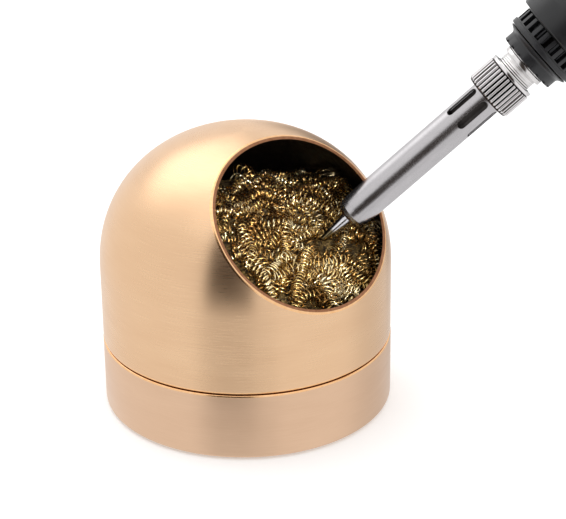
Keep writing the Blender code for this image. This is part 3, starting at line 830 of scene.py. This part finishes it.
def make_handle():
    points = [
        (8.7, 69.75, 0.1),
        (10.55, 69.75, 0.35),
        (10.9, 75.0, 4.0),
        (10.6, 79.0, 5.0),
        (9.7, 83.0, 5.0),
        (8.75, 86.9, 2.0),
        (8.7, 87.7, 0.3),
        (7.5, 87.7, 0.1),
        (7.5, 134.3, 0.1),
        (9.5, 134.3, 0.3),
        (9.6, 137.0, 4.0),
        (9.3, 150.0, 20.0),
        (8.7, 170.0, 20.0),
        (8.1, 186.0, 10.0),
        (7.7, 189.7, 0.4),
        (6.6, 189.7, 0.1),
        (6.6, 78.25, 0.1),
        (8.7, 76.75, 0.1),
    ]
    return turned("handle_shell", points, 160)


def make_grip():
    points = [(7.8, 88.0, 0.1), (8.9, 88.0, 0.4), (9.55, 89.0, 0.5)]
    pitch = 8.8
    for index in range(5):
        start = 89.0 + index * pitch
        points.append((9.5, start + 0.1, 0.3))
        points.append((9.9, start + 0.22 * pitch, 0.7))
        points.append((9.9, start + 0.78 * pitch, 0.7))
        points.append((9.5, start + pitch - 0.1, 0.3))
    points += [(8.9, 134.0, 0.5), (7.8, 134.0, 0.1)]
    return turned("grip_skin", points, 128)


def make_rear_cap():
    points = [
        (3.0, 182.0, 0.1),
        (6.3, 182.0, 0.2),
        (6.3, 190.0, 0.1),
        (7.4, 190.0, 0.1),
        (7.5, 190.6, 0.2),
        (7.1, 193.5, 6.0),
        (5.4, 196.6, 1.0),
        (4.9, 197.0, 0.4),
        (3.0, 197.0, 0.4),
    ]
    return turned("end_cap", points, 128)


def make_iron(looks):
    """The pieces of the iron: maker, body, slot, material and the CAD node each stands for."""
    table = (
        (make_tip, "iron", "plated_tip", "tip", "soldering_tip"),
        (make_sleeve, "sleeve", "sleeve_steel", "sleeve", "tip_sleeve"),
        (make_nut, "nut", "nut_metal", "nut", "sleeve_nut"),
        (make_nipple, "iron", "nut_metal", "nipple", "nipple"),
        (make_collar, "iron", "black_phenolic", "phenolic", "nose_collar"),
        (make_vent_ring, "iron", "black_phenolic", "phenolic", "vent_ring"),
        (make_handle, "iron", "handle_plastic", "plastic", "handle_body"),
        (make_grip, "iron", "grip_rubber", "grip", "grip_cover"),
        (make_rear_cap, "iron", "handle_plastic", "plastic", "rear_cap"),
    )
    for maker, body, slot, look, node in table:
        piece = maker()
        weigh_normals(piece)
        place_on_iron(piece)
        dress(piece, body, slot, looks[look], node)


# Brass wool

def wool_top(x, y):
    """Height of the wool: level at the back of the pot and falling to the lip of the mouth."""
    forward = np.maximum(0.0, -y / BASE_RADIUS - 0.05)
    back = np.maximum(0.0, y / BASE_RADIUS)
    height = WOOL_CREST - WOOL_FRONT_FALL * forward**WOOL_FRONT_POWER
    return height - WOOL_SIDE_FALL * (x / BASE_RADIUS) ** 2 - WOOL_BACK_FALL * back


class Ripples:
    """Smooth random values over the plane, about -1 to 1."""

    def __init__(self, rng, wavelength, waves=9):
        headings = rng.uniform(0, 2 * math.pi, waves)
        lengths = wavelength * rng.uniform(0.7, 1.5, waves)
        self.kx = 2 * math.pi * np.cos(headings) / lengths
        self.ky = 2 * math.pi * np.sin(headings) / lengths
        self.phase = rng.uniform(0, 2 * math.pi, waves)
        self.scale = 1.6 / math.sqrt(waves)

    def __call__(self, x, y):
        x, y = np.asarray(x), np.asarray(y)
        waves = np.sin(x[..., None] * self.kx + y[..., None] * self.ky + self.phase)
        return waves.sum(-1) * self.scale / 1.4


def wool_room(height):
    """Radius left for the strands inside the cover at a height."""
    rise = np.maximum(0.0, height - SHOULDER_HEIGHT) / (CROWN_HEIGHT - DOME_WALL)
    inside = (DOME_RADIUS - DOME_WALL) * (1 - np.minimum(rise, 0.99) ** CROWN_POWER) ** (1 / CROWN_POWER)
    return inside - 0.5


def hollows(x, y):
    """How far the wool sinks at its gaps, as (x, y, depth, width)."""
    sink = 0.0
    for cx, cy, depth, width in WOOL_HOLLOWS:
        sink = sink + depth * np.exp(-((x - cx) ** 2 + (y - cy) ** 2) / width**2)
    return sink


def clear_of_iron(points):
    """Pushes points away from the tip and from the sleeve at its foremost place."""
    tip = np.array(TIP_POINT)
    axis = np.array(IRON_AXIS)
    rel = points - tip
    along = rel @ axis
    side = rel - along[:, None] * axis
    far = np.linalg.norm(side, axis=1)
    cone = 1.1 + 0.14 * np.maximum(along, 0.0)
    tube = np.where(along < 4.4, 0.0, 4.15)
    need = np.where(along < -0.5, 0.0, np.maximum(cone, tube))
    push = np.where(far < need, need / np.maximum(far, 1e-3), 1.0)
    return points + side * (push - 1.0)[:, None]


def ribbon_strand(points, across, out, width, thickness):
    """The vertices of a flat ribbon along points: four at each, and its quads."""
    half_width = across * (width / 2)[:, None]
    half_thick = out * thickness / 2
    corners = [
        points - half_width - half_thick,
        points + half_width - half_thick,
        points + half_width + half_thick,
        points - half_width + half_thick,
    ]
    verts = np.stack(corners, 1).reshape(-1, 3)
    count = len(points)
    ring = np.arange(count - 1)[:, None] * 4
    quads = []
    for a, b in ((0, 1), (1, 2), (2, 3), (3, 0)):
        quads.append(np.concatenate([ring + a, ring + b, ring + b + 4, ring + a + 4], 1))
    ends = np.array([[3, 2, 1, 0], [4 * count - 4, 4 * count - 3, 4 * count - 2, 4 * count - 1]])
    return verts, np.concatenate(quads + [ends])


def unit(vectors):
    return vectors / np.maximum(np.linalg.norm(vectors, axis=-1, keepdims=True), 1e-9)


def coil(rng, spine, radius, pitch, width, steps=12):
    """A coiled ribbon around a spine, as vertices and quads."""
    lengths = np.concatenate([[0], np.cumsum(np.linalg.norm(np.diff(spine, axis=0), axis=1))])
    turns = lengths[-1] / pitch
    count = max(8, int(turns * steps))
    share = np.linspace(0, lengths[-1], count)
    centre = np.stack([np.interp(share, lengths, spine[:, k]) for k in range(3)], 1)
    ahead = unit(np.gradient(centre, axis=0))
    side = unit(np.cross(ahead, np.array([0.0, 0.0, 1.0])))
    up = np.cross(side, ahead)
    slow = np.interp(share, np.linspace(0, lengths[-1], 7), rng.uniform(0.72, 1.2, 7))
    drift = np.interp(share, np.linspace(0, lengths[-1], 9), rng.uniform(-1.2, 1.2, 9))
    angle = 2 * math.pi * share / pitch + drift + rng.uniform(0, 2 * math.pi)
    angle = angle if rng.random() < 0.5 else -angle
    reach = radius * slow
    lean = np.interp(share, np.linspace(0, lengths[-1], 6), rng.uniform(-0.5, 0.5, 6))
    out = side * np.cos(angle)[:, None] + up * np.sin(angle)[:, None]
    points = centre + out * reach[:, None] + ahead * (lean * reach * np.cos(angle))[:, None]
    points = clear_of_iron(points)
    room = wool_room(points[:, 2])
    far = np.hypot(points[:, 0], points[:, 1])
    points[:, :2] *= np.minimum(1.0, room / np.maximum(far, 1e-6))[:, None]
    forward = unit(np.gradient(points, axis=0))
    across = unit(np.cross(out, forward))
    outward = np.cross(forward, across)
    widths = width * np.interp(share, np.linspace(0, lengths[-1], 5), rng.uniform(0.75, 1.2, 5))
    return ribbon_strand(points, across, outward, widths, 0.07)


def mesh_of_strands(name, strands):
    """One object from many closed strands."""
    starts = np.cumsum([0] + [len(verts) for verts, _ in strands])
    verts = np.concatenate([verts for verts, _ in strands]) * MM
    quads = np.concatenate([quads + start for (_, quads), start in zip(strands, starts)])
    mesh = bpy.data.meshes.new(name)
    mesh.vertices.add(len(verts))
    mesh.vertices.foreach_set("co", verts.astype(np.float32).ravel())
    mesh.loops.add(quads.size)
    mesh.loops.foreach_set("vertex_index", quads.astype(np.int32).ravel())
    mesh.polygons.add(len(quads))
    mesh.polygons.foreach_set("loop_start", np.arange(0, quads.size, 4, dtype=np.int32))
    mesh.update(calc_edges=True)
    mesh.shade_smooth()
    obj = bpy.data.objects.new(name, mesh)
    bpy.context.collection.objects.link(obj)
    return obj


def top_spine(rng, field, swell, depth, length):
    """A spine that wanders over the wool's top, at a depth under it."""
    reach = 31.0 * math.sqrt(rng.random())
    clock = rng.uniform(0, 2 * math.pi)
    x, y = reach * math.cos(clock), reach * math.sin(clock)
    if y > 19.0:
        return None
    heading = 2.6 * float(field(x, y)) + rng.normal(0, 0.35)
    places = []
    for _ in range(int(length / 0.7)):
        z = float(wool_top(x, y) - hollows(x, y)) + depth + 0.7 * float(swell(x, y))
        places.append((x, y, z))
        heading += rng.normal(0, 0.06) + 0.05 * float(field(x + 9, y))
        x += 0.7 * math.cos(heading)
        y += 0.7 * math.sin(heading)
        if math.hypot(x, y) > float(wool_room(z)) - 1.0 or y > 21.0:
            break
    return np.array(places) if len(places) > 4 else None


def make_top_strands(rng, count, depths):
    field = Ripples(rng, 26.0)
    swell = Ripples(rng, 9.0)
    strands = []
    while len(strands) < count:
        depth = rng.uniform(*depths)
        spine = top_spine(rng, field, swell, depth, rng.uniform(9, 26))
        if spine is not None:
            radius = rng.uniform(1.05, 1.6)
            strands.append(coil(rng, spine, radius, rng.uniform(0.95, 1.45), rng.uniform(0.28, 0.40)))
    return strands


def make_side_strands(rng):
    """Rows around the foot of the wool and under it."""
    rows = [(28.4, 10.3 + 2.1 * k) for k in range(5)]
    rows += [(3.0 + 2.7 * k, 10.3) for k in range(9)]
    strands = []
    for radius, height in rows:
        pieces = max(1, round(radius / 5))
        for piece in range(pieces):
            start = 2 * math.pi * piece / pieces + rng.uniform(0, 0.3)
            turn = np.linspace(start, start + 2 * math.pi / pieces * 0.97, 24)
            wobble = rng.normal(0, 0.12, (24, 2))
            x = (radius + wobble[:, 0]) * np.cos(turn)
            y = (radius + wobble[:, 0]) * np.sin(turn)
            spine = np.stack([x, y, height + wobble[:, 1]], 1)
            strands.append(coil(rng, spine, rng.uniform(1.0, 1.25), rng.uniform(0.9, 1.5), 0.34, 10))
    return strands


def make_loose_loops(rng):
    """A few thin grey wires that spring out of the wool."""
    strands = []
    for cx, cy, spread_out in LOOSE_WIRES:
        for _ in range(3):
            x, y = cx + rng.normal(0, spread_out), cy + rng.normal(0, spread_out)
            turn = np.linspace(0, rng.uniform(1.2, 4.5) * math.pi, 60)
            size = rng.uniform(1.5, 3.0)
            heading = rng.uniform(0, 2 * math.pi)
            tilt = rng.uniform(-0.6, 0.6)
            round_x, round_y = size * np.cos(turn), size * np.sin(turn)
            px = x + round_x * math.cos(heading) - round_y * math.sin(heading) + 0.12 * turn
            py = y + round_x * math.sin(heading) + round_y * math.cos(heading)
            pz = wool_top(px, py) + 0.75 + 0.35 * tilt * round_x
            points = clear_of_iron(np.stack([px, py, pz], 1))
            far = np.hypot(points[:, 0], points[:, 1])
            points[:, :2] *= np.minimum(1.0, wool_room(points[:, 2]) / far)[:, None]
            forward = unit(np.gradient(points, axis=0))
            across = unit(np.cross(np.array([0.0, 0.0, 1.0]), forward))
            strands.append(ribbon_strand(points, across, np.cross(forward, across), np.full(60, 0.1), 0.1))
    return strands


def make_wool_core(rng):
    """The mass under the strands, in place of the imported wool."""
    segments = 96
    ruffle = Ripples(rng, 4.0)
    rings = []
    clocks = np.linspace(0, 2 * math.pi, segments, endpoint=False)
    for radius, height in ((25.5, 10.4), (26.8, 11.4), (27.0, 14.0), (27.0, 17.0), (27.2, 20.0)):
        rings.append(np.stack([radius * np.cos(clocks), radius * np.sin(clocks), np.full(segments, height)], 1))
    for step in range(1, 6):
        x, y = 27.5 * np.cos(clocks), 27.5 * np.sin(clocks)
        edge = wool_top(x, y) - 5.0
        rings.append(np.stack([x, y, 20.0 + (edge - 20.0) * step / 5], 1))
    for step in range(20, 0, -1):
        radius = (27.0 if step < 20 else 29.5) * step / 20
        x, y = radius * np.cos(clocks), radius * np.sin(clocks)
        z = wool_top(x, y) - hollows(x, y) - 3.3 + 0.5 * ruffle(x, y)
        rings.append(np.stack([x, y, z], 1))
    verts = np.concatenate([[[0, 0, 10.4]]] + rings + [[[0, 0, float(wool_top(0.0, 0.0)) - 3.4]]])
    faces = []
    last = len(verts) - 1
    for index in range(segments):
        after = (index + 1) % segments
        faces.append((0, 1 + after, 1 + index))
        faces.append((last, last - segments + index, last - segments + after))
        for ring in range(len(rings) - 1):
            low, high = 1 + ring * segments, 1 + (ring + 1) * segments
            faces.append((low + index, low + after, high + after, high + index))
    return finish_mesh("wool_core", verts, faces)


def make_wool():
    rng = np.random.default_rng(11)
    core = dress(make_wool_core(rng), "cover", "brass_wool", wool_shadow(), "brass_wool")
    made = [core]
    # Three copies of one brass: the top layer is painted paler, a painted highlight for white glints, and the deepest
    # layer darker, painted shade.
    tones = (
        ("wool_painted_highlight", (0.95, 0.83, 0.52), (0.60, 0.40, 0.14), 0.12, 62, (-1.7, -0.45)),
        ("wool_gold", (0.78, 0.55, 0.21), (0.38, 0.21, 0.06), 0.17, 62, (-2.4, -0.6)),
        ("wool_deep_painted_shade", (0.46, 0.28, 0.09), (0.22, 0.11, 0.03), 0.25, 75, (-3.6, -1.2)),
    )
    for name, bright, dull, roughness, count, depths in tones:
        strands = mesh_of_strands(name, make_top_strands(rng, count, depths))
        material = brass_strand(name, bright, dull, roughness)
        made.append(dress(strands, "cover", "brass_wool", material))
    side = mesh_of_strands("wool_side", make_side_strands(rng))
    dress(side, "cover", "brass_wool", brass_strand("wool_side", (0.70, 0.50, 0.20), (0.40, 0.26, 0.08), 0.28))
    loose = mesh_of_strands("wool_loose", make_loose_loops(rng))
    look = brass_strand("wool_loose", (0.48, 0.38, 0.22), (0.26, 0.18, 0.09), 0.2)
    made.append(dress(loose, "cover", "brass_wool", look))
    return made


def dress_inner_nodes(looks):
    """Better materials on the CAD nodes that stay."""
    table = {
        "heating_element": "ceramic",
        "spring_sleeve": "nipple",
        "grounding_spring": "wire",
        "terminal_board": "board",
        "ground_lead": "green",
        "cord_stopper": "plastic",
        "board_pin": "wire",
        "heater_lead": "wire",
    }
    for name, node in frame["nodes"].items():
        look = table.get(name.rstrip("_0123456789"))
        if look:
            for slot in node.material_slots:
                slot.material = looks[look]


# Stage, light and camera

def make_floor():
    size = 6.0
    mesh = bpy.data.meshes.new("floor")
    mesh.from_pydata([(-size, -size, 0), (size, -size, 0), (size, size, 0), (-size, size, 0)], [], [(0, 1, 2, 3)])
    floor = bpy.data.objects.new("floor", mesh)
    bpy.context.collection.objects.link(floor)
    made, tree, shader = new_material("floor_white", (0.88, 0.88, 0.88), 0.9, 0.0)
    shader.inputs["Specular IOR Level"].default_value = 0.1
    shader.inputs["Emission Color"].default_value = (1.0, 1.0, 1.0, 1.0)
    shader.inputs["Emission Strength"].default_value = 0.26
    mesh.materials.append(made)
    floor.visible_glossy = False


def heading_vector(heading, elevation):
    flat = math.cos(elevation)
    return Vector((flat * math.sin(heading), -flat * math.cos(heading), math.sin(elevation)))


def glow_patch(tree, direction, heading, elevation, inner, outer):
    """1 in the sky around a direction, falling to 0."""
    towards = heading_vector(math.radians(heading), math.radians(elevation))
    dot = add_node(tree, "VectorMath", {0: direction, 1: towards}, operation="DOT_PRODUCT")
    limits = {"From Min": math.cos(math.radians(outer)), "From Max": math.cos(math.radians(inner))}
    limits["Value"] = dot.outputs["Value"]
    return add_node(tree, "MapRange", limits, interpolation_type="SMOOTHSTEP").outputs["Result"]


def dark_panel(tree, direction, left, right, low, high):
    """1 in a stretch of the sky given by its headings from the camera and its elevations."""
    front = heading_vector(CAMERA_HEADING, 0.0)
    side = heading_vector(CAMERA_HEADING + math.pi / 2, 0.0)
    ahead = add_node(tree, "VectorMath", {0: direction, 1: front}, operation="DOT_PRODUCT").outputs["Value"]
    across = add_node(tree, "VectorMath", {0: direction, 1: side}, operation="DOT_PRODUCT").outputs["Value"]
    rise = add_node(tree, "SeparateXYZ", {0: direction}).outputs["Z"]
    heading = add_node(tree, "Math", {0: across, 1: ahead}, operation="ARCTAN2").outputs[0]
    elevation = add_node(tree, "Math", {0: rise}, operation="ARCSINE").outputs[0]
    soft = math.radians(3)
    inside = None
    for value, edge, way in ((heading, left, 1), (heading, right, -1), (elevation, low, 1), (elevation, high, -1)):
        turn = math.radians(edge)
        limits = {"Value": value, "From Min": turn - way * soft, "From Max": turn + way * soft}
        share = add_node(tree, "MapRange", limits, interpolation_type="SMOOTHSTEP").outputs["Result"]
        if inside is None:
            inside = share
        else:
            inside = add_node(tree, "Math", {0: inside, 1: share}, operation="MULTIPLY").outputs[0]
    return inside


def make_sky():
    """A bright studio with a dark panel behind the camera, which metal shows as bands."""
    world = bpy.data.worlds.new("studio")
    bpy.context.scene.world = world
    world.use_nodes = True
    tree = world.node_tree
    direction = add_node(tree, "TexCoord").outputs["Generated"]
    dark = dark_panel(tree, direction, *PANEL)
    bright = glow_patch(tree, direction, 178, 50, 6, 34)
    top = glow_patch(tree, direction, math.degrees(CAMERA_HEADING), 80, 10, 50)
    low = dark_panel(tree, direction, *LOW_PANEL)
    behind = glow_patch(tree, direction, 127, -1, 5, 14)
    beside = glow_patch(tree, direction, 110, -17, 3, 11)
    side = glow_patch(tree, direction, 85, -25, 5, 40)
    level = add_node(tree, "Math", {0: bright, 1: 1.1, 2: SKY_LEVEL}, operation="MULTIPLY_ADD").outputs[0]
    level = add_node(tree, "Math", {0: top, 1: 0.4, 2: level}, operation="MULTIPLY_ADD").outputs[0]
    for patch, kept in ((low, 0.87), (behind, 0.12), (beside, 0.5), (side, 0.78)):
        share = spread(tree, patch, 1.0, kept, 0.0, 1.0)
        level = add_node(tree, "Math", {0: level, 1: share}, operation="MULTIPLY").outputs[0]
    background = tree.nodes["Background"]
    seen = add_node(tree, "Background", {"Color": (1, 1, 1, 1), "Strength": 1.15})
    tree.links.new(level, background.inputs["Strength"])
    tree.links.new(mix_colours(tree, dark, (1.0, 1.0, 1.0), PANEL_LEVEL), background.inputs["Color"])
    path = add_node(tree, "LightPath").outputs["Is Camera Ray"]
    mixed = add_node(tree, "MixShader", {0: path, 1: background.outputs[0], 2: seen.outputs[0]})
    tree.links.new(mixed.outputs[0], tree.nodes["World Output"].inputs["Surface"])


def area_light(name, heading, elevation, distance, size, power):
    lamp = bpy.data.lights.new(name, "AREA")
    lamp.shape = "DISK"
    lamp.size = size
    lamp.energy = power
    light = bpy.data.objects.new(name, lamp)
    bpy.context.collection.objects.link(light)
    away = heading_vector(math.radians(heading), math.radians(elevation))
    light.location = away * distance + Vector((0, 0, 0.04))
    light.rotation_euler = away.to_track_quat("Z", "Y").to_euler()
    return light


def spot_light(name, heading, elevation, distance, size, power):
    """A narrow light on the back of the wool."""
    lamp = bpy.data.lights.new(name, "SPOT")
    lamp.shadow_soft_size = size
    lamp.energy = power
    lamp.spot_size = math.radians(3.0)
    lamp.spot_blend = 0.6
    light = bpy.data.objects.new(name, lamp)
    bpy.context.collection.objects.link(light)
    away = heading_vector(math.radians(heading), math.radians(elevation))
    light.location = away * distance + Vector(SPOT_AIM) * MM
    light.rotation_euler = away.to_track_quat("Z", "Y").to_euler()
    return light


def make_lights(lit):
    """Two small lamps in front of the mouth, which light the wool only."""
    receivers = bpy.data.collections.new("lit_by_lamps")
    for obj in lit:
        receivers.objects.link(obj)
    for lamp in (area_light("mouth_lamp", *LAMP), spot_light("mouth_spot", *SPOT)):
        lamp.light_linking.receiver_collection = receivers


def make_camera():
    """The camera stands at the heading and elevation from which the object was drawn up."""
    away = heading_vector(CAMERA_HEADING, CAMERA_ELEVATION)
    forward = -away
    right = Vector((math.cos(CAMERA_HEADING), math.sin(CAMERA_HEADING), 0.0))
    up = right.cross(forward)
    level = forward * math.cos(CAMERA_AIM_UP) * math.cos(CAMERA_AIM_RIGHT) + up * math.sin(CAMERA_AIM_UP)
    forward = (level + right * math.sin(CAMERA_AIM_RIGHT) * math.cos(CAMERA_AIM_UP)).normalized()
    right = forward.cross(up).normalized()
    up = right.cross(forward)
    side = right * math.cos(CAMERA_ROLL) + up * math.sin(CAMERA_ROLL)
    top = up * math.cos(CAMERA_ROLL) - right * math.sin(CAMERA_ROLL)
    data = bpy.data.cameras.new("camera")
    data.lens = CAMERA_LENS
    data.sensor_width = 36.0
    data.clip_start = 0.01
    camera = bpy.data.objects.new("camera", data)
    bpy.context.collection.objects.link(camera)
    turn = Matrix((side, top, -forward)).transposed().to_4x4()
    place = (CAMERA_TARGET + away * CAMERA_DISTANCE) * MM
    camera.matrix_world = Matrix.Translation(place) @ turn
    bpy.context.scene.camera = camera


def main():
    make_camera()
    make_floor()
    make_sky()
    bpy.context.scene.view_settings.view_transform = "Standard"

    rose = brushed_metal("rose_gold", (0.84, 0.565, 0.35), (0.78, 0.51, 0.31), 0.29, 0.012, 0.6)
    base_rose = brushed_metal("rose_gold_base", (0.78, 0.53, 0.36), (0.72, 0.48, 0.32), 0.33, 0.014, 0.6)
    rim_gold = polished_metal("rim_gold", (0.95, 0.60, 0.33), (0.86, 0.47, 0.21), 0.16)
    cover = dress(make_cover(), "cover", "rose_metal", rose, "dome_shell")
    cover.data.materials.append(rim_gold)
    cover.data.materials.append(inner_metal())
    # Painted shade: the cut face and inner arc of the rim in dark copper.
    cover.data.materials.append(polished_metal("rim_painted_shade", (0.40, 0.19, 0.10), (0.25, 0.105, 0.05), 0.3))
    base = dress(make_base(), "stand", "rose_metal", base_rose, "base_cup")
    base.data.materials.append(rim_gold)
    dress(make_foot_pad(), "stand", "pad_rubber", rubber("pad_black", (0.02, 0.02, 0.021)), "foot_pad")

    looks = {
        "tip": tip_metal(),
        "sleeve": sleeve_metal(),
        "nut": nut_metal(),
        "nipple": nipple_metal(),
        "phenolic": moulded_plastic("black_phenolic", (0.011, 0.011, 0.0125), 0.33),
        "plastic": moulded_plastic("handle_black", (0.008, 0.008, 0.009), 0.33),
        "grip": rubber("grip_black", (0.018, 0.018, 0.019)),
        "ceramic": ceramic(),
        "wire": polished_metal("tinned_wire", (0.75, 0.74, 0.71), (0.6, 0.58, 0.54), 0.28),
        "green": moulded_plastic("green_sleeve", (0.03, 0.18, 0.05), 0.45),
        "board": board_laminate(),
    }
    make_iron(looks)
    dress_inner_nodes(looks)
    make_lights(make_wool())


main()
